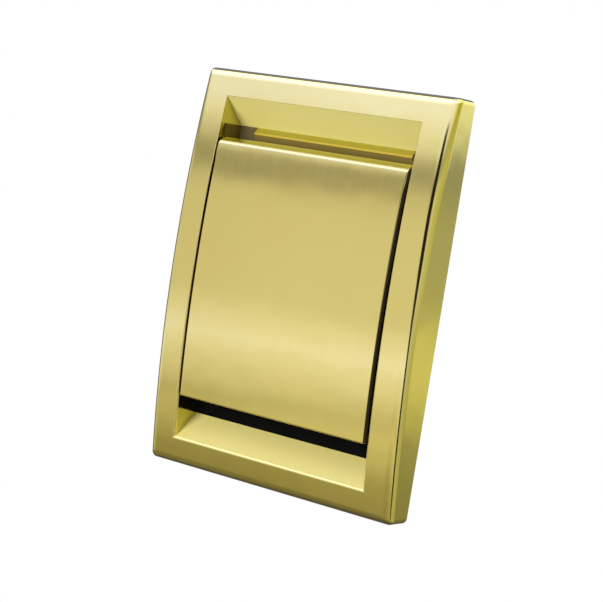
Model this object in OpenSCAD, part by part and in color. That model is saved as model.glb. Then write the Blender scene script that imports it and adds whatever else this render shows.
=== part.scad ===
// Sprung full-door wall inlet for a built-in vacuum system.
// Millimetres. +X right, +Y into the wall, +Z up. The origin lies on the wall plane,
// on the axis of the hose port. The plate and the door face -Y.

/* [Face frame] */
// Width of the face frame
plate_w = 90; // [86:0.5:100]
// Height of the face frame
plate_h = 121; // [120:0.5:130]
// Depth of the frame's top and bottom edges
edge_t = 9.2; // [8.8:0.1:10]
// How far the middle of the front bows out past those edges
bow = 4.4; // [3.6:0.1:5]
// Thickness of the cast outer wall
wall_t = 2.2; // [1.8:0.1:2.4]
// Radius along the front edges
edge_r = 3; // [2:0.1:3.6]
// Radius of the outline's corners
corner_r = 1.8; // [0.8:0.1:2]

/* [Recess] */
// Width between the recess's side walls
recess_w = 70; // [69.5:0.1:70.8]
// Height of the recess where it opens on the front
recess_h = 104.8; // [103:0.1:106]
// Height of the upper slope's deep edge above the port axis
floor_top = 44.3; // [44:0.1:45]
// Height of the lower slope's deep edge below the port axis
floor_bottom = 45; // [44.5:0.1:45.5]
// Wall thickness of the recess
recess_t = 2; // [1.6:0.1:2.2]

/* [Door] */
// Width of the door
door_w = 67.7; // [67:0.1:68.4]
// Height of the door's lower edge below the port axis
door_bottom = 39.1; // [38.5:0.1:40]
// Height of its top edge above the port axis
door_top = 40.3; // [39.8:0.1:40.6]
// Radius of the front of its top edge
top_r = 3.5; // [1.5:0.1:3.5]
// How far the door stands proud of the frame's front
door_proud = 0.5; // [0.2:0.1:0.8]
// Thickness of the door's skin
door_t = 2; // [1.8:0.1:2.2]
// Outer radius of the rolled back of that edge, concentric with the hinge pin
roll_r = 4.6; // [4.4:0.1:4.7]

/* [Hinge] */
// Radius of the hinge pin
pin_r = 1.25; // [1:0.05:1.3]
// Radial running clearance around the pin
pin_gap = 0.05; // [0.03:0.01:0.08]
// Radius of the spring wire
wire_r = 0.35; // [0.3:0.05:0.4]
// Turns in the return spring
spring_turns = 11; // [8:1:12]

/* [Port] */
// Bore for the hose end
port_r = 19.05; // [19:0.05:19.3]
// Outer radius of the collar that the door seals on
collar_r = 22.3; // [22:0.1:22.6]
// Outer radius of the rear spigot
spigot_r = 23; // [22.5:0.1:23.5]
// How far the spigot reaches behind the wall plane
spigot_end = 30; // [26:0.5:31]

/* [Fixings] */
// Height of each wall screw above or below the port axis
fixing_z = 30; // [29.5:0.1:30.5]
// Radius of a wall screw's shank
fixing_r = 1.75; // [1.6:0.05:1.8]

/* [Hidden] */
$fn = 64;
eps = 0.01;
far = 40;

// The bow is an arc about an axis along X that lies far behind the wall.
half_h = plate_h / 2;
bow_r = half_h * half_h / (2 * bow) + bow / 2;
bow_y = bow_r - edge_t - bow;
bow_fn = 720;
function bow_front(z, radius = bow_r) = bow_y - sqrt(radius * radius - z * z);

// Recess and web behind the hinge
slope_deep_y = -1.2;
web_back_y = -0.05;
web_ridge_y = -2.6;
web_ridge_z = 42.2;
web_foot_z = 40;
web_low_z = 36;
web_x = 28.6;
mouth_z = recess_h / 2;
mouth_y = bow_front(mouth_z);

// Door and hinge
door_r = bow_r + door_proud;
roll_t = 1.4;
hinge_z = door_top - roll_r;
hinge_y = bow_y - sqrt(pow(door_r - roll_r, 2) - hinge_z * hinge_z);
top_z = door_top - top_r;
top_y = bow_y - sqrt(pow(door_r - top_r, 2) - top_z * top_z);
rim_depth = 6;
rim_t = 1.6;
rim_low_z = 2 - door_bottom;
lip_r = 1.2;
lip_z = lip_r - door_bottom;
lip_y = bow_y - sqrt(pow(door_r - lip_r, 2) - lip_z * lip_z);
// The rounded edges stand this far out, so that they cross the skin and don't just touch it
lap = 0.01;
knuckle_r = roll_r - roll_t + 0.1;
knuckle_w = 6;
knuckle_x = door_w / 2 - rim_t - knuckle_w / 2 + 0.2;
bush_r = 2;
pin_half = 38.8;
slot_r = pin_r + 0.02;
spring_x = 15;
coil_r = pin_r + 1;
coil_pitch = 2.1 * wire_r;
door_leg = 12;
body_leg = 9.2;
body_leg_tilt = 22;

// Seal on the back of the door
door_back_y = bow_front(0, door_r) + door_t;
seal_front_y = -11;
seal_back_y = -8.8;
seal_r = 24;
seal_pad_r = 14;
boss_r = 3.5;
seal_screw_r = 1.45;
retainer_t = 1.2;
retainer_r = 14;

// Inlet body
flange_w = 76;
flange_h = 109;
flange_front_y = slope_deep_y;
flange_back_y = 1.3;
collar_y = -8.5;
lead_in_y = -6;
lead_in_r = 20.3;
shoulder_y = 11;
shoulder_r = 24.5;
gasket_seat_r = 23.6;
gasket_t = 2;
spigot_bore_r = 21;
joint_gap = 0.05;
fixing_head_r = 3.3;
fixing_head_t = 1.8;
fixing_neck_r = 2;
fixing_tip_y = 30;

// Four screws that hold the body in the frame
body_screw_x = 28;
body_screw_z = 51.5;
body_screw_r = 1.25;
body_screw_tip_y = -4.6;
body_head_r = 2.4;
body_head_t = 1.5;
screw_gap = 0.05;

// Bumpers under the door's lower corners
bumper_x = 31;
bumper_z = 33;
bumper_r = 2.2;
bumper_stem_r = 1.2;
bumper_front_y = -6;

// Low-voltage contacts, one on each side of the port
contact_y = 6.3;
contact_r = 1.95;
contact_hole_r = 2;
contact_tip_x = 18.9;
contact_step_x = 22.4;
contact_collar_t = 1.6;
contact_collar_r = 2.7;
spring_hole_x = 22.2;
spring_hole_r = 2.85;
housing_x = 34;
housing_low_z = -6;
housing_high_z = 13;
cap_x = 30.5;
cap_head_r = 3.8;
cap_head_t = 1.4;
terminal_t = 0.8;
terminal_screw_x = 29.5;
terminal_screw_z = 8.6;
terminal_screw_r = 1.45;
contact_coil_r = 2.25;
contact_wire_r = 0.3;

brass = [0.85, 0.76, 0.45];
steel = [0.72, 0.73, 0.75];
black = [0.10, 0.10, 0.11];
rubber = [0.16, 0.16, 0.16];
copper_alloy = [0.80, 0.62, 0.32];
nylon = [0.86, 0.85, 0.80];

// A solid of a Y-Z section, extruded along X and centred on x = 0
module along_x(width) {
    rotate([90, 0, 90])
        linear_extrude(height = width, center = true)
            children();
}

// A round bar along X between two places
module bar_x(x0, x1, radius, y, z) {
    translate([x0, y, z])
        rotate([0, 90, 0])
            cylinder(r = radius, h = x1 - x0);
}

// A round bar along Y between two places
module bar_y(y0, y1, radius, x = 0, z = 0) {
    translate([x, y0, z])
        rotate([-90, 0, 0])
            cylinder(r = radius, h = y1 - y0);
}

// A block between two corners
module block(low, high) {
    translate(low)
        cube(high - low);
}

// The same thing on both sides of the middle
module both_sides() {
    children();
    mirror([1, 0, 0])
        children();
}

// Y-Z disc about the bow axis
module bow_disc(radius) {
    translate([bow_y, 0])
        circle(r = radius, $fn = bow_fn);
}

// Y-Z section in front of the wall plane, between two heights
module band(z0, z1, y0 = -far, y1 = 0) {
    translate([y0, z0])
        square([y1 - y0, z1 - z0]);
}

// Y-Z section of the outer form, its top and bottom front edges rounded
module outer_section() {
    inner_r = bow_r - edge_r;
    round_z = half_h - edge_r;
    round_y = bow_y - sqrt(inner_r * inner_r - round_z * round_z);
    touch_z = round_z * bow_r / inner_r;
    intersection() {
        bow_disc(bow_r);
        band(-touch_z, touch_z);
    }
    band(-half_h, half_h, round_y);
    for (z = [-round_z, round_z])
        translate([round_y, z])
            circle(r = edge_r);
}

// The front swept about the bow axis, its side edges rounded
module swept_front() {
    half_w = plate_w / 2;
    translate([0, bow_y, 0])
        rotate([0, 90, 0])
            rotate_extrude($fn = bow_fn) {
                translate([bow_r - far, -half_w])
                    square([far - edge_r, plate_w]);
                translate([bow_r - far, edge_r - half_w])
                    square([far, plate_w - 2 * edge_r]);
                for (x = [edge_r - half_w, half_w - edge_r])
                    translate([bow_r - edge_r, x])
                        circle(r = edge_r, $fn = 64);
            }
}

// Outline of the plate, extruded along Y
module outline_block() {
    round_x = plate_w / 2 - corner_r;
    round_z = half_h - corner_r;
    rotate([90, 0, 0])
        linear_extrude(height = far) {
            square([plate_w, 2 * round_z], center = true);
            square([2 * round_x, plate_h], center = true);
            for (x = [-round_x, round_x], z = [-round_z, round_z])
                translate([x, z])
                    circle(r = corner_r);
        }
}

module outer_form() {
    intersection() {
        along_x(plate_w)
            outer_section();
        swept_front();
        outline_block();
    }
}

// The space inside the cast wall
module inner_form() {
    inner_half = half_h - wall_t;
    along_x(plate_w - 2 * wall_t)
        intersection() {
            bow_disc(bow_r - wall_t);
            band(-inner_half, inner_half, -far, 1);
        }
}

// Y-Z section of the recess, made larger by a wall thickness where grow is set
module recess_section(grow = 0) {
    depth = slope_deep_y - mouth_y;
    reach = depth + 10;
    rise_top = (mouth_z - floor_top) / depth;
    rise_low = (mouth_z - floor_bottom) / depth;
    step_top = grow * sqrt(1 + rise_top * rise_top);
    step_low = grow * sqrt(1 + rise_low * rise_low);
    polygon([
        [slope_deep_y, -floor_bottom - step_low],
        [slope_deep_y, floor_top + step_top],
        [slope_deep_y - reach, floor_top + reach * rise_top + step_top],
        [slope_deep_y - reach, -floor_bottom - reach * rise_low - step_low]
    ]);
}

module recess_casing() {
    intersection() {
        along_x(recess_w + 2 * recess_t)
            recess_section(recess_t);
        outer_form();
    }
}

// Bosses that take the body screws, run up into the slopes
module frame_bosses() {
    for (x = [-body_screw_x, body_screw_x], z = [-body_screw_z, body_screw_z])
        bar_y(-8, slope_deep_y, 3, x, z);
}

// Open slots in the recess's side walls, which the hinge pin drops into from behind
module pin_slots() {
    both_sides() {
        block([recess_w / 2 - 1, hinge_y, hinge_z - slot_r],
              [recess_w / 2 + recess_t + 1, 1, hinge_z + slot_r]);
        bar_x(recess_w / 2 - 1, recess_w / 2 + recess_t + 1, slot_r, hinge_y, hinge_z);
    }
}

module face_frame() {
    color(brass) {
        difference() {
            union() {
                difference() {
                    outer_form();
                    inner_form();
                }
                recess_casing();
                frame_bosses();
            }
            along_x(recess_w)
                recess_section();
            pin_slots();
            for (x = [-body_screw_x, body_screw_x], z = [-body_screw_z, body_screw_z])
                bar_y(body_screw_tip_y - 0.4, 1, body_screw_r + screw_gap, x, z);
        }
        along_x(2 * web_x)
            polygon([
                [web_back_y, web_low_z],
                [web_back_y, floor_top + recess_t],
                [slope_deep_y, floor_top + recess_t],
                [slope_deep_y, floor_top],
                [web_ridge_y, web_ridge_z],
                [slope_deep_y, web_foot_z],
                [slope_deep_y, web_low_z]
            ]);
    }
}

// Y-Z section of the door's bowed skin
module door_skin_section(radius, thickness) {
    difference() {
        bow_disc(radius);
        bow_disc(radius - thickness);
    }
}

// Y-Z section of the top edge: rounded in front, flat on top, rolled down behind the hinge
module top_edge_section() {
    difference() {
        union() {
            intersection() {
                bow_disc(door_r);
                band(hinge_z - 1, top_z * door_r / (door_r - top_r), -far, top_y);
            }
            translate([top_y, top_z])
                circle(r = top_r + lap);
            band(hinge_z - 1, door_top, top_y, hinge_y);
            translate([hinge_y, hinge_z])
                intersection() {
                    circle(r = roll_r);
                    polygon([[0, 0], [-0.02 * far, far], [far, far]]);
                }
        }
        translate([hinge_y, hinge_z])
            circle(r = roll_r - roll_t);
    }
}

// Y-Z section of the bottom rim, its front edge rounded
module bottom_rim_section() {
    translate([lip_y, lip_z])
        circle(r = lip_r + lap);
    band(-door_bottom - lap, rim_low_z, lip_y, bow_front(door_bottom, door_r) + rim_depth);
}

module flap() {
    color(brass) {
        difference() {
            union() {
                along_x(door_w) {
                    intersection() {
                        door_skin_section(door_r, door_t);
                        band(lip_z * door_r / (door_r - lip_r), hinge_z);
                    }
                    top_edge_section();
                    bottom_rim_section();
                }
                both_sides()
                    translate([door_w / 2 - rim_t / 2, 0, 0])
                        along_x(rim_t) {
                            intersection() {
                                door_skin_section(door_r, rim_depth);
                                band(rim_low_z - 1, hinge_z - knuckle_r + 1);
                            }
                            translate([hinge_y, hinge_z])
                                circle(r = roll_r - 0.2);
                        }
                both_sides()
                    bar_x(knuckle_x - knuckle_w / 2, knuckle_x + knuckle_w / 2, knuckle_r, hinge_y, hinge_z);
                bar_y(door_back_y - 0.6, seal_front_y, seal_pad_r);
                bar_y(seal_front_y - eps, seal_back_y, boss_r);
            }
            bar_x(-far, far, bush_r, hinge_y, hinge_z);
            bar_y(seal_front_y - 1.6, 0, seal_screw_r + screw_gap);
        }
    }
}

module hinge_pin() {
    color(steel)
        bar_x(-pin_half, pin_half, pin_r, hinge_y, hinge_z);
}

// Push-on clips in the channels outside the recess's side walls
module pin_clips() {
    clip_x = recess_w / 2 + recess_t + 0.15;
    clip_t = 0.6;
    color(steel)
        both_sides()
            difference() {
                bar_x(clip_x, clip_x + clip_t, 1.8, hinge_y, hinge_z);
                bar_x(clip_x - 1, clip_x + clip_t + 1, pin_r, hinge_y, hinge_z);
                block([clip_x - 1, hinge_y, hinge_z - 0.9], [clip_x + clip_t + 1, hinge_y + 4, hinge_z + 0.9]);
            }
}

module hinge_bushes() {
    color(nylon)
        both_sides()
            difference() {
                bar_x(knuckle_x - knuckle_w / 2, door_w / 2, bush_r, hinge_y, hinge_z);
                bar_x(knuckle_x - far, far, pin_r + pin_gap, hinge_y, hinge_z);
            }
}

// Close-wound torsion coil around the pin, one leg on the door and one on the body
module return_spring() {
    half_coil = spring_turns * coil_pitch / 2;
    leg_x = half_coil - wire_r;
    color(steel) {
        difference() {
            bar_x(spring_x - half_coil, spring_x + half_coil, coil_r + wire_r, hinge_y, hinge_z);
            bar_x(spring_x - far, spring_x + far, coil_r - wire_r, hinge_y, hinge_z);
        }
        translate([spring_x + leg_x, hinge_y - coil_r, hinge_z])
            rotate([180, 0, 0])
                cylinder(r = wire_r, h = door_leg, $fn = 24);
        translate([spring_x - leg_x, hinge_y + coil_r, hinge_z])
            rotate([180 + body_leg_tilt, 0, 0])
                cylinder(r = wire_r, h = body_leg, $fn = 24);
    }
}

module flap_seal() {
    color(rubber)
        difference() {
            bar_y(seal_front_y, seal_back_y, seal_r);
            bar_y(seal_front_y - 1, seal_back_y + 1, boss_r + joint_gap);
        }
}

module seal_retainer() {
    color(steel)
        difference() {
            bar_y(seal_back_y, seal_back_y + retainer_t, retainer_r);
            bar_y(seal_back_y - 1, seal_back_y + retainer_t + 1, seal_screw_r + screw_gap);
        }
}

// A pan-head screw along Y whose head starts at y = 0 and whose shank runs towards -Y
module pan_screw(shank_r, shank_length, head_r, head_t) {
    difference() {
        union() {
            bar_y(0, head_t, head_r);
            bar_y(-shank_length, eps, shank_r);
        }
        for (turn = [0, 90])
            translate([0, head_t, 0])
                rotate([0, turn, 0])
                    cube([head_r * 1.2, head_t, 0.6], center = true);
    }
}

module seal_screw() {
    color(steel)
        translate([0, seal_back_y + retainer_t, 0])
            pan_screw(seal_screw_r, 4.8, 2.8, 1.2);
}

module flap_bumpers() {
    color(rubber)
        both_sides() {
            bar_y(bumper_front_y, flange_front_y, bumper_r, bumper_x, -bumper_z);
            bar_y(flange_front_y - eps, flange_back_y, bumper_stem_r, bumper_x, -bumper_z);
        }
}

// Holes for one contact and its screw, along the plunger's axis
module contact_holes() {
    bar_x(17, spring_hole_x + 1, contact_hole_r, contact_y, 0);
    bar_x(spring_hole_x, housing_x + 1, spring_hole_r, contact_y, 0);
    bar_y(4, shoulder_y + 1, terminal_screw_r + screw_gap, terminal_screw_x, terminal_screw_z);
}

// Posts that close the pin slots behind the hinge pin
module pin_posts() {
    post_x = recess_w / 2 + recess_t / 2;
    both_sides()
        block([post_x - recess_t / 2 + 0.2, hinge_y + pin_r + 0.02, hinge_z - slot_r + 0.1],
              [post_x + recess_t / 2 - 0.2, web_back_y + 0.1, hinge_z + slot_r - 0.1]);
}

// Flange that the frame is screwed to, with a hole for the port tube
module inlet_body() {
    half_w = flange_w / 2;
    flange_round = 4;
    pocket_x = web_x + 0.2;
    color(black) {
        difference() {
            translate([0, flange_back_y, 0])
                rotate([90, 0, 0])
                    linear_extrude(height = flange_back_y - flange_front_y) {
                        square([flange_w, flange_h - 2 * flange_round], center = true);
                        square([flange_w - 2 * flange_round, flange_h], center = true);
                        for (x = [-1, 1], z = [-1, 1])
                            translate([x * (half_w - flange_round), z * (flange_h / 2 - flange_round)])
                                circle(r = flange_round);
                    }
            block([-pocket_x, flange_front_y - 1, web_low_z - 0.2],
                  [pocket_x, web_back_y + joint_gap, floor_top + recess_t + 0.2]);
            bar_y(flange_front_y - 1, flange_back_y + 1, collar_r + joint_gap);
            both_sides()
                bar_y(flange_front_y - 1, flange_back_y + 1, bumper_stem_r, bumper_x, -bumper_z);
            for (z = [-fixing_z, fixing_z])
                bar_y(flange_front_y - 1, flange_back_y + 1, fixing_neck_r + screw_gap, 0, z);
            for (x = [-body_screw_x, body_screw_x], z = [-body_screw_z, body_screw_z]) {
                bar_y(flange_front_y - 1, flange_back_y + 1, body_screw_r + screw_gap, x, z);
                bar_y(flange_back_y - body_head_t, flange_back_y + 1, body_head_r + screw_gap, x, z);
            }
        }
        pin_posts();
    }
}

// Tube through the flange: sealing collar, hose port, shoulder and rear spigot
module port_tube() {
    color(black)
        difference() {
            union() {
                bar_y(collar_y, flange_back_y + joint_gap + eps, collar_r);
                bar_y(flange_back_y + joint_gap, shoulder_y, shoulder_r);
                bar_y(shoulder_y - eps, shoulder_y + gasket_t, gasket_seat_r);
                bar_y(shoulder_y, spigot_end, spigot_r);
            }
            bar_y(collar_y - 1, lead_in_y, lead_in_r);
            bar_y(collar_y - 1, shoulder_y + eps, port_r);
            bar_y(shoulder_y, spigot_end + 1, spigot_bore_r);
            both_sides()
                contact_holes();
        }
}

// Blocks beside the port, each with the hole for one contact
module contact_housings() {
    color(black)
        both_sides()
            difference() {
                block([19, flange_back_y + joint_gap, housing_low_z], [housing_x, shoulder_y, housing_high_z]);
                bar_y(0, shoulder_y + 1, shoulder_r + joint_gap);
                contact_holes();
            }
}

module spigot_gasket() {
    color(rubber)
        difference() {
            bar_y(shoulder_y, shoulder_y + gasket_t, shoulder_r + 1.4);
            bar_y(shoulder_y - 1, shoulder_y + gasket_t + 1, gasket_seat_r + joint_gap);
        }
}

// Contact plunger: a domed tip, a shank and a shoulder that the spring pushes on
module contact_pin() {
    dome = contact_tip_x + contact_r;
    color(copper_alloy) {
        translate([dome, contact_y, 0])
            sphere(r = contact_r);
        bar_x(dome, contact_step_x + eps, contact_r, contact_y, 0);
        bar_x(contact_step_x, contact_step_x + contact_collar_t, contact_collar_r, contact_y, 0);
    }
}

module contact_pin_right() {
    contact_pin();
}

module contact_pin_left() {
    mirror([1, 0, 0])
        contact_pin();
}

// Compression spring between the plunger's shoulder and the cap
module contact_spring() {
    start = contact_step_x + contact_collar_t + contact_wire_r;
    end = cap_x - contact_wire_r;
    turns = 8;
    color(steel)
        difference() {
            bar_x(start - contact_wire_r, end + contact_wire_r, contact_coil_r + contact_wire_r, contact_y, 0);
            bar_x(start - 1, end + 1, contact_coil_r - contact_wire_r, contact_y, 0);
        }
}

module contact_spring_right() {
    contact_spring();
}

module contact_spring_left() {
    mirror([1, 0, 0])
        contact_spring();
}

// Plug that closes the spring hole and clamps the terminal strip
module contact_cap() {
    head_x = housing_x + terminal_t;
    color(copper_alloy)
        difference() {
            union() {
                bar_x(cap_x, head_x + eps, spring_hole_r - 0.05, contact_y, 0);
                bar_x(head_x, head_x + cap_head_t, cap_head_r, contact_y, 0);
            }
            block([head_x + cap_head_t - 0.7, contact_y - 5, -0.4], [head_x + cap_head_t + 1, contact_y + 5, 0.4]);
        }
}

module contact_cap_right() {
    contact_cap();
}

module contact_cap_left() {
    mirror([1, 0, 0])
        contact_cap();
}

// Bent strip from the cap to the wire's screw
module terminal() {
    leg_z = 4.2;
    color(copper_alloy)
        difference() {
            union() {
                block([housing_x, 2.2, -leg_z], [housing_x + terminal_t, shoulder_y + terminal_t, leg_z]);
                block([26, shoulder_y, -leg_z], [housing_x + terminal_t, shoulder_y + terminal_t, 12.2]);
            }
            bar_x(housing_x - 1, housing_x + terminal_t + 1, spring_hole_r, contact_y, 0);
            bar_y(shoulder_y - 1, shoulder_y + 3, terminal_screw_r + screw_gap, terminal_screw_x, terminal_screw_z);
        }
}

module terminal_right() {
    terminal();
}

module terminal_left() {
    mirror([1, 0, 0])
        terminal();
}

module terminal_screws() {
    color(steel)
        both_sides()
            translate([terminal_screw_x, shoulder_y + terminal_t, terminal_screw_z])
                pan_screw(terminal_screw_r, 6.5, 2.7, 1.5);
}

module body_screws() {
    color(steel)
        for (x = [-body_screw_x, body_screw_x], z = [-body_screw_z, body_screw_z])
            translate([x, flange_back_y - body_head_t, z])
                pan_screw(body_screw_r, flange_back_y - body_head_t - body_screw_tip_y, body_head_r, body_head_t);
}

// The two long screws that fix the inlet to the plate in the wall, each with a plain neck in the flange
module fixing_screws() {
    color(steel)
        for (z = [-fixing_z, fixing_z])
            translate([0, flange_front_y, z])
                rotate([0, 0, 180]) {
                    pan_screw(fixing_r, fixing_tip_y - flange_front_y, fixing_head_r, fixing_head_t);
                    bar_y(flange_front_y - flange_back_y, eps, fixing_neck_r);
                }
}

face_frame();
flap();
hinge_pin();
pin_clips();
hinge_bushes();
return_spring();
flap_seal();
seal_retainer();
seal_screw();
flap_bumpers();
inlet_body();
port_tube();
contact_housings();
spigot_gasket();
contact_pin_left();
contact_pin_right();
contact_spring_left();
contact_spring_right();
contact_cap_left();
contact_cap_right();
terminal_left();
terminal_right();
terminal_screws();
body_screws();
fixing_screws();
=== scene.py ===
"""Looks of a full-door wall inlet in polished brass, in metres, in the CAD's frame.

The face frame and the door are built here from the same dimensions as the CAD, with exact
shading normals for their mirror finish. Only the door's top edge is a tighter curve than in the
CAD. The springs, the screws and the rubber parts are built with their real detail. The other CAD
nodes stay and get their materials and small bevels.
"""

import math
from functools import partial

import bpy
import numpy as np
from mathutils import Matrix, Vector


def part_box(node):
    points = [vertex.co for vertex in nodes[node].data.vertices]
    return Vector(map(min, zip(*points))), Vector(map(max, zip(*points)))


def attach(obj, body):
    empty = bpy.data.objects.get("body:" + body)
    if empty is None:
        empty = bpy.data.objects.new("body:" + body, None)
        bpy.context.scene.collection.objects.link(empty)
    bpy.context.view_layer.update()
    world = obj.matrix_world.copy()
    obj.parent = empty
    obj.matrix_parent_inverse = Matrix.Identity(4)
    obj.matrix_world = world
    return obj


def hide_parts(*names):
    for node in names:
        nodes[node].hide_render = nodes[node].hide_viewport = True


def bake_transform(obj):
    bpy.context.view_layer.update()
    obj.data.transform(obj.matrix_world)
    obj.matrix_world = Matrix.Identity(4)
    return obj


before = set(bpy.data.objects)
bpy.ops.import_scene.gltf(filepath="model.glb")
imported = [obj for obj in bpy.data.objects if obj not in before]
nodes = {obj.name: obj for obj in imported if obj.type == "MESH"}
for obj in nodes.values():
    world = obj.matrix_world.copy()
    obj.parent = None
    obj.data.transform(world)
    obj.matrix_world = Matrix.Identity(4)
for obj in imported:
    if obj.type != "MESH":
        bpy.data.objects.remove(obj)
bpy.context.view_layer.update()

MM = 0.001
TAU = 2 * math.pi


def box_mm(node):
    """Lowest and highest corner of a CAD node, in millimetres."""
    low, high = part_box(node)
    return np.array(low) / MM, np.array(high) / MM


# ---------------------------------------------------------------- dimensions, in millimetres

frame_low, frame_high = box_mm("face_frame")
door_low, door_high = box_mm("flap")
pin_low, pin_high = box_mm("hinge_pin")
HALF_W = frame_high[0]
HALF_H = frame_high[2]
FRONT_Y = frame_low[1]
BOW = 4.4
BOW_R = HALF_H * HALF_H / (2 * BOW) + BOW / 2
BOW_Y = BOW_R + FRONT_Y
EDGE_R = 3.0
EDGE_BOW_R = BOW_R - EDGE_R
CORNER_R = 1.8
WALL_T = 2.2
BACK_R = 0.35

RECESS_X = 35.0
MOUTH_Z = 52.4
FLOOR_TOP = 44.3
FLOOR_LOW = 45.0
DEEP_Y = -1.2
CASING_T = 2.0
MOUTH_R_TOP = 0.12
MOUTH_R_LOW = 0.8

WEB_X = 28.6
WEB_LOW_Z = 36.0
WEB_BACK_Y = -0.05
WEB_RIDGE = (-2.6, 42.2)
WEB_FOOT = (DEEP_Y, 40.0)

DOOR_X = door_high[0]
DOOR_R = BOW_Y - door_low[1]
DOOR_LOW_Z = door_low[2]
DOOR_T = 2.0
CREST_R = 5.6
TOP_R = 1.0
FLARE = 0.3
ROLL_R = 4.6
ROLL_T = 1.4
RIM_DEPTH = 6.0
RIM_T = 1.6
LIP_R = 0.4
DOOR_FLOOR_Z = DOOR_LOW_Z + 2.0
HINGE_Y = (pin_low[1] + pin_high[1]) / 2
HINGE_Z = (pin_low[2] + pin_high[2]) / 2
PIN_R = (pin_high[2] - pin_low[2]) / 2
KNUCKLE_R = 3.3
KNUCKLE_W = 6.0
BUSH_R = 2.0

SEAL_FRONT_Y = -11.0
SEAL_BACK_Y = -8.8
SEAL_R = 24.0
PAD_R = 14.0
BOSS_R = 3.5
BODY_SCREWS = [(x, z) for x in (-28, 28) for z in (-51.5, 51.5)]


def bow_y(z, radius=BOW_R):
    """Y of an arc about the bow's axis."""
    return BOW_Y - np.sqrt(radius * radius - z * z)


def bow_normal(z, radius=BOW_R):
    """Outward normals of that arc, for an array of heights."""
    z = np.asarray(z, float)
    return np.stack([0 * z, -np.sqrt(radius * radius - z * z) / radius, z / radius], -1)


# ---------------------------------------------------------------- mesh building


class Surface:
    """Quads in millimetres, whose corners carry their own shading normals."""

    def __init__(self):
        self.points = []
        self.places = {}
        self.faces = []
        self.normals = []
        self.finishes = []

    def point(self, p):
        key = tuple(np.round(p, 4))
        if key not in self.places:
            self.places[key] = len(self.points)
            self.points.append(tuple(p))
        return self.places[key]

    def face(self, corners, normals, finish=0):
        """Adds one face, turned so that it faces the way its normals do."""
        kept = []
        for p, n in zip(corners, normals):
            i = self.point(p)
            if i not in [k[0] for k in kept]:
                kept.append((i, n))
        if len(kept) < 3:
            return
        place = [np.array(self.points[i]) for i, _ in kept]
        across = np.zeros(3)
        for i in range(1, len(kept) - 1):
            across += np.cross(place[i] - place[0], place[i + 1] - place[0])
        if np.linalg.norm(across) < 1e-9:
            return
        if np.dot(across, sum(np.array(n) for _, n in kept)) < 0:
            kept.reverse()
        self.faces.append([i for i, _ in kept])
        self.normals += [tuple(n) for _, n in kept]
        self.finishes.append(finish)

    def strip(self, rows, closed=False, finish=0):
        """Quads between rows, each a pair of arrays; finish is one number or one for each column."""
        for (p0, n0), (p1, n1) in zip(rows, rows[1:]):
            count = len(p0)
            for j in range(count if closed else count - 1):
                k = (j + 1) % count
                chosen = finish if np.isscalar(finish) else int(finish[j])
                self.face([p0[j], p0[k], p1[k], p1[j]], [n0[j], n0[k], n1[k], n1[j]], chosen)

    def polygon(self, points, normal, finish=0):
        """One flat face."""
        self.face(points, [normal] * len(points), finish)

    def turned(self, profile, axis="y", centre=(0, 0, 0), steps=64, finish=0):
        """Turns a profile of (place along the axis, radius); its slight bends are shaded round."""
        angle = np.linspace(0, TAU, steps, endpoint=False)
        ring = ring_vectors(angle, axis)
        along = axis_vector(axis)
        centre = np.array(centre, float)
        places = [np.array(p, float) for p in profile]
        flats = []
        for p, q in zip(places, places[1:]):
            d = (q - p) / max(np.linalg.norm(q - p), 1e-9)
            flats.append(np.array([-d[1], d[0]]))
        limit = math.cos(math.radians(35))
        for i, flat in enumerate(flats):
            ends = []
            for j, other in ((i, i - 1), (i + 1, i + 1)):
                n = flat
                if 0 <= other < len(flats) and flat @ flats[other] > limit:
                    n = flat + flats[other]
                    n = n / np.linalg.norm(n)
                a, r = places[j]
                ends.append((centre + along * a + ring * r, along * n[0] + ring * n[1]))
            self.strip(ends, closed=True, finish=finish)

    def make(self, name, materials):
        """The Blender object, in metres."""
        mesh = bpy.data.meshes.new(name)
        mesh.from_pydata([[c * MM for c in p] for p in self.points], [], self.faces)
        for material in materials:
            mesh.materials.append(material)
        mesh.polygons.foreach_set("material_index", self.finishes)
        mesh.polygons.foreach_set("use_smooth", [True] * len(self.faces))
        mesh.update()
        mesh.normals_split_custom_set(self.normals)
        return add_object(name, mesh)


def add_object(name, data):
    """A new object in the scene that shows a mesh, a light or a camera."""
    obj = bpy.data.objects.new(name, data)
    bpy.context.scene.collection.objects.link(obj)
    return obj


def axis_vector(axis):
    return np.array({"x": (1.0, 0, 0), "y": (0, 1.0, 0)}[axis])


def ring_vectors(angle, axis):
    """Unit vectors round an axis."""
    c, s, o = np.cos(angle), np.sin(angle), 0 * angle
    return np.stack({"x": (o, c, s), "y": (c, o, s)}[axis], -1)


def turn_between(a, b, t):
    """Unit vectors turned from a to b, row by row."""
    dot = np.clip((a * b).sum(-1, keepdims=True), -1, 1)
    angle = np.arccos(dot)
    rest = np.sin(angle)
    rest = np.where(rest < 1e-6, 1, rest)
    made = (np.sin((1 - t) * angle) * a + np.sin(t * angle) * b) / rest
    return np.where(angle < 1e-6, a, made)


def same(direction, points):
    """One direction, as a row for each of the points."""
    return np.broadcast_to(np.array(direction, float), (len(points), 3))


def rounding(centre, radius, start, end, count):
    """Rows about a line of centres, turned from one set of normals to another."""
    rows = []
    for t in np.linspace(0, 1, count):
        n = turn_between(start, end, t)
        rows.append((centre + radius * n, n))
    return rows


def ease(value, low, high):
    """Goes smoothly from 0 to 1 as value goes from low to high."""
    t = np.clip((value - low) / (high - low), 0, 1)
    return t * t * (3 - 2 * t)


# ---------------------------------------------------------------- materials


def new_material(name):
    material = bpy.data.materials.new(name)
    material.use_nodes = True
    tree = material.node_tree
    return material, tree, tree.nodes["Principled BSDF"]


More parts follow.
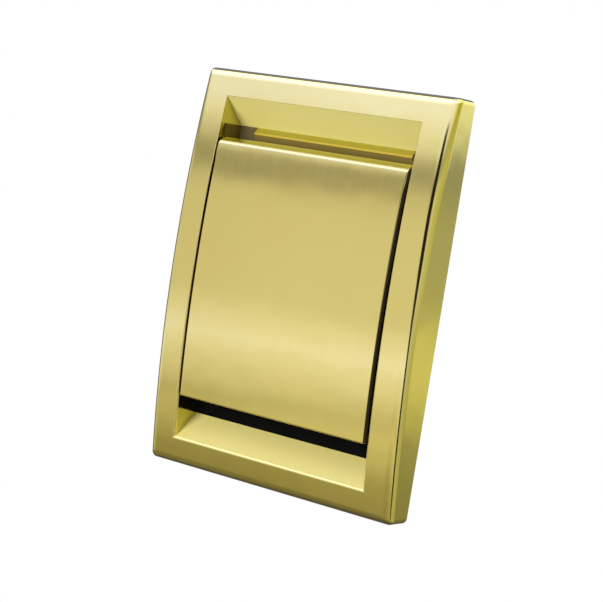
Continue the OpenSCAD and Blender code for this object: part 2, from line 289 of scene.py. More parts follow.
def set_inputs(node, **inputs):
    """Sets inputs by name; spaces are written as underscores."""
    for key, value in inputs.items():
        node.inputs[key.replace("_", " ")].default_value = value


def add_node(tree, kind, **inputs):
    node = tree.nodes.new(kind)
    set_inputs(node, **inputs)
    return node


def ramp(tree, stops, source):
    """A colour ramp of (place, grey or colour), fed by source."""
    node = tree.nodes.new("ShaderNodeValToRGB")
    elements = node.color_ramp.elements
    while len(elements) < len(stops):
        elements.new(0.5)
    for element, (place, value) in zip(elements, stops):
        element.position = place
        rgb = value if isinstance(value, tuple) else (value,) * 3
        element.color = (*rgb, 1)
    tree.links.new(source, node.inputs["Fac"])
    return node.outputs["Color"]


def mix_colour(tree, factor, a, b, blend="MIX"):
    """Mixes two colours, each a socket or a plain colour."""
    node = tree.nodes.new("ShaderNodeMix")
    node.data_type = "RGBA"
    node.blend_type = blend
    for socket, value in ((node.inputs[0], factor), (node.inputs[6], a), (node.inputs[7], b)):
        if hasattr(value, "is_linked"):
            tree.links.new(value, socket)
        elif isinstance(value, tuple):
            socket.default_value = (*value, 1)
        else:
            socket.default_value = value
    return node.outputs[2]


def object_place(tree, scale=(1, 1, 1)):
    """The point on the object, in metres times scale."""
    coordinates = tree.nodes.new("ShaderNodeTexCoord")
    mapping = add_node(tree, "ShaderNodeMapping", Scale=scale)
    tree.links.new(coordinates.outputs["Object"], mapping.inputs["Vector"])
    return mapping.outputs["Vector"]


def noise(tree, place, scale, detail):
    node = add_node(tree, "ShaderNodeTexNoise", Scale=scale, Detail=detail)
    tree.links.new(place, node.inputs["Vector"])
    return node.outputs["Fac"]


def feed(tree, shader, colour, roughness, normal):
    """Links a shader to the sockets of its colour, its roughness and its normal."""
    for key, socket in (("Base Color", colour), ("Roughness", roughness), ("Normal", normal)):
        tree.links.new(socket, shader.inputs[key])


def bump(tree, height, strength, distance, below=None):
    node = add_node(tree, "ShaderNodeBump", Strength=strength, Distance=distance)
    tree.links.new(height, node.inputs["Height"])
    if below is not None:
        tree.links.new(below, node.inputs["Normal"])
    return node.outputs["Normal"]


def brass(name, colour, roughness, waves=0.012, grain=0.05, metal=1.0, coat=0.25):
    """Lacquered brass: slow waves from buffing, fine buffing lines and faint colour drift."""
    material, tree, shader = new_material(name)
    place = object_place(tree)
    drift = noise(tree, place, 45, 2)
    warmer = tuple(c * f for c, f in zip(colour, (1.0, 0.965, 0.86)))
    paler = tuple(min(1, c * f) for c, f in zip(colour, (1.0, 1.015, 1.08)))
    colour_drift = mix_colour(tree, drift, warmer, paler)
    lines = noise(tree, object_place(tree, (900, 900, 60)), 1.0, 2)
    specks = noise(tree, place, 2600, 2)
    gloss = ramp(tree, [(0.3, roughness * 0.8), (0.7, roughness * 1.25)], lines)
    slow = bump(tree, noise(tree, place, 90, 1), waves, 0.004)
    fine = bump(tree, lines, grain, 0.00002, slow)
    feed(tree, shader, colour_drift, gloss, bump(tree, specks, grain, 0.00001, fine))
    set_inputs(shader, Metallic=metal, Coat_Weight=coat, Coat_Roughness=0.04, Coat_IOR=1.5)
    return material


def set_specular(material, level):
    set_inputs(material.node_tree.nodes["Principled BSDF"], Specular_IOR_Level=level)


def steel(name, colour, roughness):
    """Plated or drawn steel with fine lines and small spots of varying gloss."""
    material, tree, shader = new_material(name)
    place = object_place(tree)
    blotch = noise(tree, place, 700, 4)
    darker = tuple(c * 0.86 for c in colour)
    fine = noise(tree, place, 5200, 3)
    gloss = ramp(tree, [(0.3, roughness * 0.75), (0.7, roughness * 1.35)], fine)
    spots = mix_colour(tree, blotch, colour, darker)
    feed(tree, shader, spots, gloss, bump(tree, fine, 0.12, 0.00003))
    set_inputs(shader, Metallic=1.0)
    return material


def moulded(name, colour, roughness, scale, depth, sheen=0.0):
    """Plastic or rubber with a fine moulded texture and slightly uneven gloss."""
    material, tree, shader = new_material(name)
    place = object_place(tree)
    cloud = noise(tree, place, 140, 4)
    lighter = tuple(min(1, c * 1.25 + 0.004) for c in colour)
    cells = add_node(tree, "ShaderNodeTexVoronoi", Scale=scale)
    tree.links.new(place, cells.inputs["Vector"])
    grain = noise(tree, place, scale * 1.7, 3)
    gloss = ramp(tree, [(0.3, roughness * 0.85), (0.7, min(1, roughness * 1.2))], grain)
    rough = bump(tree, cells.outputs["Distance"], 0.35, depth)
    clouds = mix_colour(tree, cloud, colour, lighter)
    feed(tree, shader, clouds, gloss, bump(tree, grain, 0.25, depth, rough))
    set_inputs(shader, Sheen_Weight=sheen)
    return material


BRASS = (0.86, 0.723, 0.242)
polished = brass("polished_brass", BRASS, 0.07, grain=0.015)
satin = brass("satin_brass", (0.93, 0.83, 0.31), 0.5, grain=0.25, metal=0.05, coat=0.0)
set_specular(satin, 0.2)
shaded = brass("shaded_brass", (0.58, 0.54, 0.16), 0.1)
blurred = brass("blurred_brass", BRASS, 0.3, coat=0.0)
# painted shade: a darker, rougher brass that dims the highlight along the door's top edge
top_edge_shade = brass("top_edge_shade_brass", (0.57, 0.50, 0.24), 0.3, coat=0.0)
# painted shade: a dark, matt brass on the web's lower face and the faces behind it, standing in for the
# dark reflection there
web_shade = brass("web_shade_brass", (0.26, 0.19, 0.046), 0.5, grain=0.25, metal=0.05, coat=0.0)
# painted shade: a near-black, matt brass for the door's ends, flanks, knuckles and cheeks, standing in for
# the shade in the gaps beside the door
door_gap_shade = brass("door_gap_shade_brass", (0.10, 0.075, 0.03), 0.6, grain=0.4, metal=0.3, coat=0.0)
bright_steel = steel("bright_steel", (0.70, 0.71, 0.74), 0.22)
spring_steel = steel("spring_steel", (0.50, 0.51, 0.54), 0.30)
contact_brass = brass("contact_brass", (0.78, 0.58, 0.28), 0.2, grain=0.15, coat=0.0)
nylon = moulded("white_nylon", (0.80, 0.78, 0.70), 0.45, 3000, 0.00002)
black_plastic = moulded("black_plastic", (0.014, 0.014, 0.016), 0.42, 2400, 0.00004)
dull_black = moulded("dull_black", (0.002, 0.002, 0.0024), 0.75, 2400, 0.00004)
set_specular(dull_black, 0.04)
rubber = moulded("black_rubber", (0.022, 0.022, 0.022), 0.7, 1500, 0.00003, sheen=0.1)


def paint_brass_bounce_above(material, height):
    """Paints light bounced off the brass onto a black part, as a warm tint above a height, in metres."""
    tree = material.node_tree
    shader = tree.nodes["Principled BSDF"]
    parts = tree.nodes.new("ShaderNodeSeparateXYZ")
    tree.links.new(object_place(tree), parts.inputs[0])
    share = ramp(tree, [(height, 0.0), (height + 0.002, 1.0)], parts.outputs[2])
    plain = shader.inputs["Base Color"].links[0].from_socket
    tree.links.new(mix_colour(tree, share, plain, (0.13, 0.10, 0.045)), shader.inputs["Base Color"])


# painted reflected light: a warm tint on the black body's top, where the brass shines on it
paint_brass_bounce_above(dull_black, 0.037)

# places of the finishes in the two castings' lists of materials; the darker brasses among them are painted
# shade
POLISHED, SATIN, SHADED, WEB_SHADE, BLURRED = range(5)
FRAME_FINISHES = [polished, satin, shaded, web_shade, blurred]
DOOR_GAP_SHADE, TOP_EDGE_SHADE = 1, 3
DOOR_FINISHES = [polished, door_gap_shade, shaded, top_edge_shade]

# ---------------------------------------------------------------- rings for the face frame

SIDE_STEPS = 48
END_STEPS = 14
CORNER_STEPS = 9


def ring(half_x, low_z, high_z, radius):
    """Points (x, z) round a rounded rectangle and their outward directions, always in the same order."""
    turn = np.linspace(0, 1, CORNER_STEPS + 2)[1:-1] * math.pi / 2
    x, low, high = half_x - radius, low_z + radius, high_z - radius
    centres = [np.array(c) for c in ((x, low), (x, high), (-x, high), (-x, low), (x, low))]
    points, outward = [], []
    for side, steps in enumerate((SIDE_STEPS, END_STEPS, SIDE_STEPS, END_STEPS)):
        start, end = centres[side : side + 2]
        straight = np.array([(1, 0), (0, 1), (-1, 0), (0, -1)][side])
        for t in np.linspace(0, 1, steps + 1):
            points.append(start + (end - start) * t + radius * straight)
            outward.append(straight)
        for a in turn + side * math.pi / 2:
            direction = np.array([math.cos(a), math.sin(a)])
            points.append(end + radius * direction)
            outward.append(direction)
    return np.array(points), np.array(outward)


def in_space(flat, y):
    """Points (x, z) of a ring placed at y, one value or one for each point."""
    return np.stack([flat[:, 0], np.broadcast_to(y, len(flat)), flat[:, 1]], -1)


def slope_normal(floor_z, sign):
    """Normal of a slope of the recess, as (y, z) parts; sign is 1 for the top slope, -1 for the other."""
    mouth_y = bow_y(MOUTH_Z)
    rise = (MOUTH_Z - floor_z) / (DEEP_Y - mouth_y)
    size = math.hypot(rise, 1)
    return -rise / size, -sign / size


def on_slope(floor_z, sign, offset, radius):
    """Y and Z where a slope, moved by offset into the metal, meets an arc about the bow's axis."""
    part_y, part_z = slope_normal(floor_z, sign)
    z = sign * MOUTH_Z
    for _ in range(30):
        y = bow_y(z, radius)
        z = sign * floor_z + (-offset - (y - DEEP_Y) * part_y) / part_z
    return y, z


def wall_normals(outward, sign):
    """Normals of the recess's walls: out of the metal if sign is 1, the casing's backs if -1."""
    top_y, top_z = slope_normal(FLOOR_TOP, 1)
    low_y, low_z = slope_normal(FLOOR_LOW, -1)
    made = np.zeros((len(outward), 3))
    made[:, 0] = -outward[:, 0]
    up = outward[:, 1]
    made[:, 1] = np.where(up > 0, up * top_y, -up * low_y)
    made[:, 2] = np.where(up > 0, up * top_z, -up * low_z)
    made /= np.linalg.norm(made, axis=1, keepdims=True)
    return sign * made


def slope_columns(points_count):
    """Which quads of a ring are slopes: the top and the bottom runs."""
    first = SIDE_STEPS + 1 + CORNER_STEPS
    period = first + END_STEPS + 1 + CORNER_STEPS
    flags = np.zeros(points_count, bool)
    for start in (first, first + period):
        flags[start : start + END_STEPS] = True
    return flags


def edge_row(t):
    """A row round the rounded outer edge, from the front (t is 0) to the sides (t is 1)."""
    angle = t * math.pi / 2
    end_z = HALF_H - EDGE_R
    end_n = turn_between(bow_normal(end_z, EDGE_BOW_R), np.array([0.0, 0.0, 1.0]), t)
    end_y = bow_y(end_z, EDGE_BOW_R) + EDGE_R * end_n[1]
    high_z = end_z + EDGE_R * end_n[2]
    half_x = HALF_W - EDGE_R + EDGE_R * math.sin(angle)
    sharp = 0.15
    flat, around = ring(half_x, -high_z, high_z, sharp + (CORNER_R - sharp) * t**0.6)
    centre_z = flat[:, 1] / (1 + EDGE_R * math.cos(angle) / EDGE_BOW_R)
    side_n = math.cos(angle) * bow_normal(centre_z, EDGE_BOW_R)
    side_y = bow_y(centre_z, EDGE_BOW_R) + EDGE_R * side_n[:, 1]
    side_n[:, 0] += math.sin(angle) * np.sign(flat[:, 0])
    share = around[:, 1] ** 2
    ends = np.stack([0 * share, 0 * share + end_n[1], np.sign(flat[:, 1]) * end_n[2]], -1)
    normals = side_n + (ends - side_n) * share[:, None]
    normals /= np.linalg.norm(normals, axis=1, keepdims=True)
    return in_space(flat, side_y + (end_y - side_y) * share), normals


def build_web(surface):
    """The ridge behind the top of the door: a bulging upper face and a lower face that leans back."""
    top, ridge = np.array([DEEP_Y, FLOOR_TOP]), np.array(WEB_RIDGE)
    tilts = np.radians(np.linspace(46, 30, 9))
    upper_n = np.stack([-np.cos(tilts), np.sin(tilts)], -1)
    radius = np.linalg.norm(top - ridge) / np.linalg.norm(upper_n[0] - upper_n[-1])
    centre = (top + ridge - radius * (upper_n[0] + upper_n[-1])) / 2
    upper = centre + radius * upper_n
    upper[0], upper[-1] = top, ridge
    for part, finish in ((slice(0, 7), SHADED), (slice(6, None), POLISHED)):
        rows = [(at_x(upper[part], x), at_x(upper_n[part], 0)) for x in (-WEB_X, WEB_X)]
        surface.strip(rows, finish=finish)
    # the lower face and the faces behind it take the dark, matt brass: painted shade for the dark
    # reflection there
    path = [ridge, WEB_FOOT, (DEEP_Y, WEB_LOW_Z), (WEB_BACK_Y, WEB_LOW_Z)]
    path += [(WEB_BACK_Y, FLOOR_TOP + CASING_T), (DEEP_Y, FLOOR_TOP + CASING_T)]
    for a, b in zip(path, path[1:]):
        along = (b[0] - a[0], b[1] - a[1])
        normal = np.array([0, along[1], -along[0]]) / math.hypot(*along)
        surface.polygon([(-WEB_X, *a), (WEB_X, *a), (WEB_X, *b), (-WEB_X, *b)], normal, WEB_SHADE)
    for x in (-WEB_X, WEB_X):
        side = (math.copysign(1, x), 0, 0)
        for a, b in [*zip(upper, upper[1:]), *zip(path[:2], path[1:3])]:
            surface.polygon([(x, *a), (x, *b), (x, WEB_BACK_Y, b[1]), (x, WEB_BACK_Y, a[1])], side)
        surface.polygon([(x, *top), (x, *path[-1]), (x, *path[-2]), (x, WEB_BACK_Y, top[1])], side)


def bow_rows(start, end, count, radius, sign):
    """Rows on an arc about the bow's axis, between two rings of (x, z)."""
    rows = []
    for t in np.linspace(0, 1, count):
        flat = start + (end - start) * t
        normals = sign * bow_normal(flat[:, 1], radius)
        rows.append((in_space(flat, bow_y(flat[:, 1], radius)), normals))
    return rows


def build_rim(surface, edge):
    """The rounded outer edge, the side wall, the small radius behind it and the hollow's walls."""
    outline, out2 = ring(HALF_W, -HALF_H, HALF_H, CORNER_R)
    outward = np.stack([out2[:, 0], 0 * out2[:, 0], out2[:, 1]], -1)
    back = same((0, 1, 0), outline)
    surface.strip(edge, closed=True)
    surface.strip([(edge[-1][0], outward), (in_space(outline, -BACK_R), outward)], closed=True)
    rows = rounding(in_space(outline - BACK_R * out2, -BACK_R), BACK_R, outward, back, 5)
    surface.strip(rows, closed=True)
    hollow, _ = ring(HALF_W - WALL_T, WALL_T - HALF_H, HALF_H - WALL_T, 1.0)
    surface.strip([(rows[-1][0], back), (in_space(hollow, 0), back)], closed=True)
    inner_y = bow_y(hollow[:, 1], BOW_R - WALL_T)
    rows = [(in_space(hollow, y), -outward) for y in (0, inner_y)]
    surface.strip(rows, closed=True)
    return hollow


def build_casing(surface, hollow):
    """The back of the front and the casing behind the recess, out to its open end."""
    _, case_top = on_slope(FLOOR_TOP, 1, CASING_T, BOW_R - WALL_T)
    _, case_low = on_slope(FLOOR_LOW, -1, CASING_T, BOW_R - WALL_T)
    case, case_out = ring(RECESS_X + CASING_T, case_low, case_top, 0)
    rows = bow_rows(hollow, case, 4, BOW_R - WALL_T, -1)
    surface.strip(rows, closed=True)
    end_top = FLOOR_TOP - CASING_T / slope_normal(FLOOR_TOP, 1)[1]
    end_low = -FLOOR_LOW - CASING_T / slope_normal(FLOOR_LOW, -1)[1]
    case_end, _ = ring(RECESS_X + CASING_T, end_low, end_top, 0)
    deep, _ = ring(RECESS_X, -FLOOR_LOW, FLOOR_TOP, 0)
    normals = wall_normals(case_out, -1)
    surface.strip([(rows[-1][0], normals), (in_space(case_end, DEEP_Y), normals)], closed=True)
    back = same((0, 1, 0), deep)
    surface.strip([(in_space(flat, DEEP_Y), back) for flat in (case_end, deep)], closed=True)
    return in_space(deep, DEEP_Y)


def build_frame():
    surface = Surface()
    edge = [edge_row(t) for t in np.linspace(0, 1, 13)]

    # mouth of the recess, with a small radius along its edge
    _, top_z = on_slope(FLOOR_TOP, 1, MOUTH_R_TOP, BOW_R - MOUTH_R_TOP)
    _, low_z = on_slope(FLOOR_LOW, -1, MOUTH_R_LOW, BOW_R - MOUTH_R_LOW)
    mouth, mouth_out = ring(RECESS_X, low_z, top_z, 0)
    up = ((mouth[:, 1] - low_z) / (top_z - low_z))[:, None]
    mouth_r = MOUTH_R_LOW + (MOUTH_R_TOP - MOUTH_R_LOW) * up
    mouth[:, 0] *= 1 + mouth_r[:, 0] / RECESS_X
    mouth_centre = in_space(mouth, bow_y(mouth[:, 1], BOW_R - mouth_r[:, 0]))
    mouth_front = bow_normal(mouth[:, 1])
    wall = wall_normals(mouth_out, 1)

    front_end = (mouth_centre + mouth_r * mouth_front)[:, [0, 2]]
    surface.strip(bow_rows(edge[0][0][:, [0, 2]], front_end, 7, BOW_R, 1), closed=True)
    hollow = build_rim(surface, edge)
    deep = build_casing(surface, hollow)

    # the recess itself, with satin slopes
    wall_end = mouth_centre + mouth_r * wall
    rows = [(deep + (wall_end - deep) * t, wall) for t in np.linspace(0, 1, 5)]
    finish = np.where(slope_columns(len(deep)), SATIN, SHADED)
    surface.strip(rows, closed=True, finish=finish)
    surface.strip(rounding(mouth_centre, mouth_r, wall, mouth_front, 5), closed=True, finish=BLURRED)

    build_web(surface)
    boss = [(-5.6, 3), (DEEP_Y - 0.2, 3), (DEEP_Y, 2.8), (DEEP_Y, 1.3), (-5, 1.3), (-5, 0)]
    for x, z in BODY_SCREWS:
        surface.turned(boss, centre=(x, 0, z), steps=40)
    return surface.make("frame_casting", FRAME_FINISHES)


# ---------------------------------------------------------------- door


def door_front_normal(z):
    """The polished front's normal at one height: it rolls off a little towards the top."""
    near_top = np.clip((z - 35.8) / 2.7, 0, 1)
    lean = 0.55 * ease(z, 22, 31) + 1.1 * near_top**1.3
    n = bow_normal(z, DOOR_R) + math.radians(lean) * np.array([0, 0, 1])
    return n / np.linalg.norm(n)


def top_edge_turn():
    """Where the crest's arc meets the tighter arc of the top edge, in radians from upright."""
    reach = CREST_R - TOP_R
    low, high = 0.0, 1.2
    for _ in range(40):
        turn = (low + high) / 2
        y = HINGE_Y - reach * math.sin(turn)
        z = door_high[2] - CREST_R + reach * math.cos(turn)
        if y > bow_y(z, DOOR_R - TOP_R):
            low = turn
        else:
            high = turn
    return turn, (y, z)


def door_profile():
    """The door's outer path in (y, z), from behind the top edge down the front to the bottom rim."""
    points, normals = [], []

    def arc(centre, radius, start, end, steps):
        for a in np.linspace(start, end, steps):
            n = (math.sin(a), math.cos(a))
            points.append((centre[0] + radius * n[0], centre[1] + radius * n[1]))
            normals.append(n)

    turn, edge_centre = top_edge_turn()
    arc((HINGE_Y, HINGE_Z), ROLL_R, math.radians(45), 0, 12)
    arc((HINGE_Y, door_high[2] - CREST_R), CREST_R, 0, -turn, 14)
    front_n = door_front_normal(edge_centre[1])
    arc(edge_centre, TOP_R, -turn, math.atan2(front_n[1], front_n[2]), 14)
    top_z = points[-1][1]
    lip_z = DOOR_LOW_Z + LIP_R
    lip_y = bow_y(lip_z, DOOR_R - LIP_R)
    low_z = lip_z * DOOR_R / (DOOR_R - LIP_R)
    for z in np.linspace(top_z, low_z, 100)[1:]:
        n = door_front_normal(z)
        points.append((bow_y(z, DOOR_R), z))
        normals.append((n[1], n[2]))
    start = math.atan2(normals[-1][1], normals[-1][0])
    for a in np.linspace(start + TAU if start < 0 else start, 1.5 * math.pi, 9)[1:]:
        n = (math.cos(a), math.sin(a))
        points.append((lip_y + LIP_R * n[0], lip_z + LIP_R * n[1]))
        normals.append(n)
    back_y = bow_y(DOOR_LOW_Z, DOOR_R) + RIM_DEPTH
    points.append((back_y, DOOR_LOW_Z))
    normals.append((0.0, -1.0))
    return np.array(points), np.array(normals), back_y


def door_inside(points, back_y):
    """The inner path, one point for each of the outer path's, and its normals."""
    inner, normals = [], []
    for y, z in points:
        if z > HINGE_Z:
            a = math.atan2(y - HINGE_Y, z - HINGE_Z)
            n = (math.sin(a), math.cos(a))
            r = ROLL_R - ROLL_T
            inner.append((HINGE_Y + r * n[0], HINGE_Z + r * n[1]))
            normals.append((-n[0], -n[1]))
            continue
        z = max(z, DOOR_FLOOR_Z)
        n = bow_normal(z, DOOR_R)
        inner.append((bow_y(z, DOOR_R - DOOR_T), z))
        normals.append((-n[1], -n[2]))
    inner[-1] = (back_y, DOOR_FLOOR_Z)
    normals[-1] = (0.0, 1.0)
    return np.array(inner), np.array(normals)


def at_x(path, x):
    """Points (y, z) placed at x, one value or one for each point."""
    return np.stack([np.broadcast_to(x, len(path)), path[:, 0], path[:, 1]], -1)


def build_skin(surface):
    """The door's bowed front with its rolled top edge and its bottom rim, open at the back."""
    outer, outer_n, back_y = door_profile()
    inner, inner_n = door_inside(outer, back_y)

    # the ends flare towards the top, and are rounded a little more there
    height = ease(outer[:, 1], HINGE_Z - 4, HINGE_Z)
    end_x = DOOR_X + FLARE * height
    end_r = (0.35 + 0.15 * height)[:, None]
    under = np.clip((outer[:, 0] - outer[:, 0].min() - 1.5) / 1.0, 0, 1)[:, None]
    under = under * (outer[:, 1] < 0)[:, None]
    end_r = end_r * (1 - under) + 0.25 * under
    normal3 = at_x(outer_n, 0)
    # the path's points on the crest, on the top edge and on the front
    crest, top_edge, front = slice(0, 24), slice(23, 39), slice(38, None)
    # the crest and the top edge take darker brasses, painted shade; the front stays polished
    parts = ((crest, SHADED), (top_edge, TOP_EDGE_SHADE), (front, POLISHED))
    side = same((1, 0, 0), outer)
    for sign in (-1, 1):
        rows = [(at_x(outer, 0), normal3)]
        for t in np.linspace(0, 1, 9):
            n = turn_between(normal3, side, t)
            place = at_x(outer, end_x) - end_r * (normal3 + side) + end_r * n
            rows.append((place * [sign, 1, 1], n * [sign, 1, 1]))
        for part, finish in parts:
            surface.strip([(p[part], n[part]) for p, n in rows[:7]], finish=finish)
        # the end roundings and the flanks take the near-black brass: painted shade in the gaps beside the
        # door
        surface.strip(rows[6:], finish=DOOR_GAP_SHADE)
        edge = rows[-1][0]
        flank = same((sign, 0, 0), outer)
        surface.strip([(edge, flank), (at_x(inner, sign * end_x), flank)], finish=DOOR_GAP_SHADE)
    inside3 = at_x(inner_n, 0)
    surface.strip([(at_x(inner, -end_x), inside3), (at_x(inner, end_x), inside3)])
    for path_end in (0, -1):
        a, b = outer[path_end], inner[path_end]
        d = np.array([b[1] - a[1], a[0] - b[0]])
        d = d / np.linalg.norm(d)
        if path_end == -1:
            d = np.array([1.0, 0.0])
        elif d @ (outer[0] - outer[2]) < 0:
            d = -d
        corners = [(s * DOOR_X, *p) for s, p in ((-1, a), (1, a), (1, b), (-1, b))]
        surface.polygon(corners, (0, *d))


def build_side_rims(surface):
    """The two side rims, which stand behind the skin."""
    rim_z = np.linspace(DOOR_FLOOR_Z, HINGE_Z - KNUCKLE_R + 0.6, 24)
    skin = np.stack([bow_y(rim_z, DOOR_R - DOOR_T), rim_z], -1)
    deep = np.stack([bow_y(rim_z, DOOR_R - RIM_DEPTH), rim_z], -1)
    soft = 0.3
    for sign in (-1, 1):
        x_out, x_in = sign * DOOR_X, sign * (DOOR_X - RIM_T)
        out_n = same((sign, 0, 0), rim_z)
        back_n = -bow_normal(rim_z, DOOR_R)
        shallow = deep - np.stack([back_n[:, 1], back_n[:, 2]], -1) * soft
        outside = [(at_x(skin, x_out), out_n), (at_x(shallow, x_out), out_n)]
        behind = [(at_x(deep, x_out - sign * soft), back_n), (at_x(deep, x_in + sign * soft), back_n)]
        inside = [(at_x(shallow, x_in), -out_n), (at_x(skin, x_in), -out_n)]
        surface.strip(outside + behind + inside)
        for i, up in ((0, -1.0), (-1, 1.0)):
            corners = [(x, *p[i]) for x, p in ((x_out, skin), (x_out, deep), (x_in, deep), (x_in, skin))]
            surface.polygon(corners, (0, 0, up))


def build_door():
    surface = Surface()
    build_skin(surface)
    build_side_rims(surface)

    # knuckles round the hinge bushes, and the cheeks that carry them, in the near-black brass that paints
    # the shade in the gaps
    knuckle = (DOOR_X - RIM_T - KNUCKLE_W + 0.2, DOOR_X - 0.9, KNUCKLE_R, 0.3, 48)
    cheek = (DOOR_X - RIM_T, DOOR_X - 0.05, ROLL_R - ROLL_T, 0.2, 64)
    for sign in (-1, 1):
        for near, far, radius, chamfer, steps in (knuckle, cheek):
            a, b = sorted((sign * near, sign * far))
            profile = [(a, BUSH_R), (a, radius - chamfer), (a + chamfer, radius), (b - chamfer, radius)]
            profile += [(b, radius - chamfer), (b, BUSH_R), (a, BUSH_R)]
            surface.turned(profile, "x", (0, HINGE_Y, HINGE_Z), steps, DOOR_GAP_SHADE)

    # pad and boss that the seal is screwed to
    skin_y = bow_y(0.0, DOOR_R - DOOR_T) - 0.2
    profile = [(skin_y, PAD_R), (SEAL_FRONT_Y - 0.2, PAD_R), (SEAL_FRONT_Y, PAD_R - 0.2)]
    profile += [(SEAL_FRONT_Y, BOSS_R), (SEAL_BACK_Y, BOSS_R), (SEAL_BACK_Y, 1.5), (skin_y, 1.5)]
    surface.turned(profile, "y", (0, 0, 0), 72)
    return surface.make("door_casting", DOOR_FINISHES)


# ---------------------------------------------------------------- small pieces


def sweep(surface, path, radius, sides=12):
    """A round wire along a path of points, its ends closed."""
    path = np.array(path, float)
    ahead = np.gradient(path, axis=0)
    ahead /= np.linalg.norm(ahead, axis=1, keepdims=True)
    side = np.cross(ahead[0], [0.3, 0.5, 0.8])
    angle = np.linspace(0, TAU, sides, endpoint=False)[:, None]
    rows = []
    for p, d in zip(path, ahead):
        side = side - d * (side @ d)
        side /= np.linalg.norm(side)
        n = np.cos(angle) * side + np.sin(angle) * np.cross(d, side)
        rows.append((p + radius * n, n))
    surface.strip(rows, closed=True)
    for end, sign in ((0, -1), (-1, 1)):
        surface.polygon(list(rows[end][0]), sign * ahead[end])


def helix(start, end, radius, turns, centre, steps=28):
    """Points of a coil along X."""
    t = np.linspace(0, 1, int(turns * steps) + 1)
    a = TAU * turns * t
    y, z = centre[0] + radius * np.cos(a), centre[1] + radius * np.sin(a)
    return np.stack([start + (end - start) * t, y, z], -1)


def build_return_spring():
    """A torsion coil round the pin, one leg on the door and one on the body."""
    low, high = box_mm("return_spring")
    wire = 0.35
    coil_r = PIN_R + 1.0
    turns = 11.5
    to_body, to_door = (0, 3.4, -8.4), (0, 0, -11.8)
    coil = helix(low[0] + wire, high[0] - wire, coil_r, turns, (HINGE_Y, HINGE_Z))
    body_leg = coil[0] + np.outer(np.linspace(1, 0, 14)[:-1], to_body)
    door_leg = coil[-1] + np.outer(np.linspace(0, 1, 14)[1:], to_door)
    surface = Surface()
    sweep(surface, np.vstack([body_leg, coil, door_leg]), wire)
    spring = surface.make("return_spring_wire", [spring_steel])
    return spring, coil[0] * MM, coil[-1] * MM


def build_contact_spring(node, name):
    low, high = box_mm(node)
    wire = 0.3
    coil_r = (high[2] - low[2]) / 2 - wire
    centre = ((low[1] + high[1]) / 2, (low[2] + high[2]) / 2)
    a, b = low[0] + wire, high[0] - wire
    dead = 0.65
    first, last = helix(a, a + dead, coil_r, 1, centre), helix(b - dead, b, coil_r, 1, centre)
    open_coil = helix(a + dead, b - dead, coil_r, 5, centre)
    coil = np.vstack([first[:-1], open_coil[:-1], last])
    surface = Surface()
    sweep(surface, coil, wire, 10)
    return surface.make(name, [spring_steel])


def cross_depth(x, z, reach, half_width, soft):
    """How deep a cross recess is at a point, from 0 to 1."""

    def arm(along, across):
        wide = np.clip((half_width + soft - abs(across)) / soft, 0, 1)
        long = np.clip((reach - abs(along)) / (reach * 0.35), 0, 1)
        return wide * long

    return np.maximum(arm(x, z), arm(z, x))


def screw_head(surface, centre, face_y, head_r, head_t, sign):
    """A pan head that rises from face_y along sign * Y, domed, with a cross recess."""
    radii = np.concatenate([np.linspace(0, 0.62, 22), np.linspace(0.62, 1, 9)[1:]]) * head_r
    angle = np.linspace(0, TAU, 72, endpoint=False)
    grid = []
    for r in radii:
        x, z = r * np.cos(angle), r * np.sin(angle)
        dome = head_t * (1 - 0.18 * (r / head_r) ** 2 - 0.55 * np.clip((r / head_r - 0.8) / 0.2, 0, 1) ** 3)
        dip = 0.62 * head_t * cross_depth(x, z, head_r * 0.6, head_r * 0.09, head_r * 0.09)
        grid.append(np.stack([centre[0] + x, face_y + sign * (dome - dip), centre[1] + z], -1))
    grid.append(grid[-1] * [1, 0, 1] + [0, face_y, 0])
    grid = np.array(grid)
    round_d = np.roll(grid, -1, axis=1) - np.roll(grid, 1, axis=1)
    out_d = np.gradient(grid, axis=0)
    normals = np.cross(out_d, round_d)
    normals[0] = [0, sign, 0]
    flip = np.sign(normals[2, 0, 1] * sign) or 1
    normals *= flip
    size = np.linalg.norm(normals, axis=-1, keepdims=True)
    normals = normals / np.where(size < 1e-12, 1, size)
    normals[0] = [0, sign, 0]
    rows = [(grid[i], normals[i]) for i in range(len(grid) - 1)]
    surface.strip(rows, closed=True)
    rim_n = np.stack([np.cos(angle), 0 * angle, np.sin(angle)], -1)
    surface.strip([(grid[-2], rim_n), (grid[-1], rim_n)], closed=True)
    under = same((0, -sign, 0), angle)
    middle = same((centre[0], face_y, centre[1]), angle)
    surface.strip([(grid[-1], under), (middle, under)], closed=True)


def thread(surface, centre, y0, y1, radius, pitch, sides=20):
    """A threaded shank along Y from y0 to y1, ending in a short blunt cone."""
    direction = 1 if y1 > y0 else -1
    length = abs(y1 - y0)
    per_turn = 6
    steps = int(length / pitch * per_turn)
    angle = np.linspace(0, TAU, sides, endpoint=False)
    depth = min(0.3, 0.3 * pitch)
    rows = []
    for i in range(steps + 1):
        along = length * i / steps
        phase = (along / pitch - angle / TAU) % 1
        crest = np.clip(1 - abs(phase - 0.5) * 2.6, 0, 1)
        taper = np.clip((length - along) / (1.6 * radius), 0, 1)
        r = (radius - depth * (1 - crest)) * (0.45 + 0.55 * taper)
        ring_n = np.stack([np.cos(angle), 0 * angle, np.sin(angle)], -1)
        slope = np.where(phase < 0.5, 1, -1) * np.clip(crest * 3, 0, 0.8)
        n = ring_n - slope[:, None] * np.array([0, direction, 0.0])
        n /= np.linalg.norm(n, axis=1, keepdims=True)
        place = r[:, None] * ring_n + [centre[0], y0 + direction * along, centre[1]]
        rows.append((place, n))
    surface.strip(rows, closed=True)
    surface.polygon(list(rows[-1][0]), (0, direction, 0))


